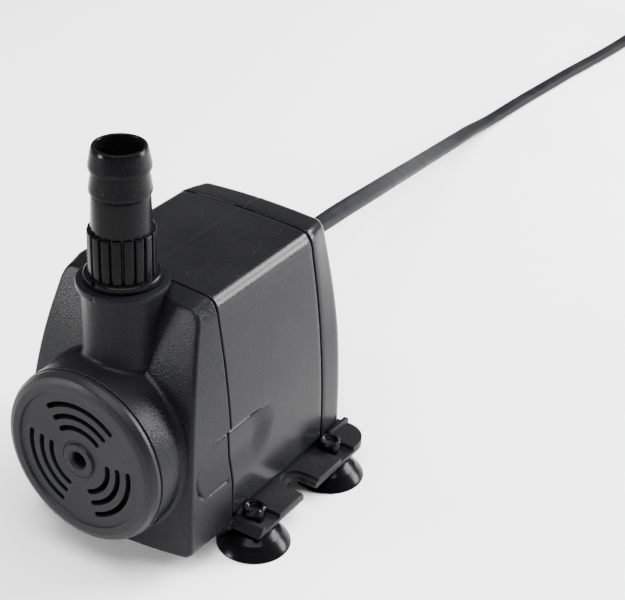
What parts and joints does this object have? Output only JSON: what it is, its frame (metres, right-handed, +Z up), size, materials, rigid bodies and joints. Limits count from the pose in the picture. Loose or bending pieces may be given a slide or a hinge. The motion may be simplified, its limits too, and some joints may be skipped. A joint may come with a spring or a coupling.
{
  "type": "fountain submersible pump",
  "caption": "Small submersible fountain pump with a slotted intake disc, a stepped hose adapter, suction-cup feet and a flat power lead.",
  "frame": {"origin": "on the plane that the suction cups stand on, under the middle of the pump's footprint", "axes": "+Z up along the outlet, -Y out of the intake disc, +X to the right when the intake disc is seen from the front"},
  "size_m": [0.1104, 0.636, 0.1441],
  "materials": {
    "shell_plastic": "black ABS with a fine moulded grain",
    "housing_plastic": "black ABS, smooth satin gloss",
    "plate_plastic": "black ABS, matt fine grain",
    "screw_steel": "stainless steel",
    "impeller_plastic": "off-white plastic",
    "ferrite": "sintered ferrite, dark grey",
    "ceramic": "polished ceramic",
    "seal_rubber": "black rubber",
    "core_steel": "laminated silicon steel",
    "copper_wire": "enamelled copper wire, wound",
    "potting_resin": "dark casting resin",
    "cup_rubber": "glossy black rubber",
    "lead_rubber": "black cable jacket, satin",
    "tie_plastic": "black plastic tie",
    "pin_brass": "nickel-plated brass"
  },
  "bodies": {
    "housing": {"motor_housing": "housing_plastic", "rear_cover": "housing_plastic", "rotor_can": "housing_plastic", "chamber_seal": "seal_rubber", "stator_core": "core_steel", "coil_left": "copper_wire", "coil_right": "copper_wire", "resin_potting": "potting_resin", "ceramic_shaft": "ceramic", "shaft_bush_rear": "seal_rubber", "cover_screw_1": "screw_steel", "cover_screw_2": "screw_steel", "cover_screw_3": "screw_steel", "cover_screw_4": "screw_steel", "base_plate": "plate_plastic", "suction_cup_front_left": "cup_rubber", "suction_cup_front_right": "cup_rubber", "suction_cup_rear_left": "cup_rubber", "suction_cup_rear_right": "cup_rubber", "strain_relief": "lead_rubber", "power_lead": "lead_rubber", "lead_coil": "lead_rubber", "lead_tie": "tie_plastic", "plug_body": "lead_rubber", "plug_pin_left": "pin_brass", "plug_pin_right": "pin_brass"},
    "head": {"front_shell": "shell_plastic", "pump_chamber": "shell_plastic", "shaft_bush_front": "seal_rubber"},
    "disc": {"intake_disc": "shell_plastic"},
    "adapter": {"hose_adapter": "housing_plastic", "adapter_seal": "seal_rubber"},
    "rotor": {"impeller": "impeller_plastic", "rotor_magnet": "ferrite"}
  },
  "joints": [
    {"name": "head_pull", "type": "slide", "parent": "housing", "child": "head", "axis": [0, -1, 0], "range_m": [0, 0.05]},
    {"name": "disc_turn", "type": "hinge", "parent": "head", "child": "disc", "pos_m": [0, -0.0535, 0.042], "axis": [0, -1, 0], "range_deg": [0, 60]},
    {"name": "adapter_turn", "type": "hinge", "parent": "head", "child": "adapter", "pos_m": [0, -0.0284, 0.0984], "axis": [0, 0, 1], "range_deg": [0, 60]},
    {"name": "rotor_spin", "type": "hinge", "parent": "housing", "child": "rotor", "pos_m": [0, -0.0265, 0.042], "axis": [0, -1, 0], "continuous": true}
  ]
}
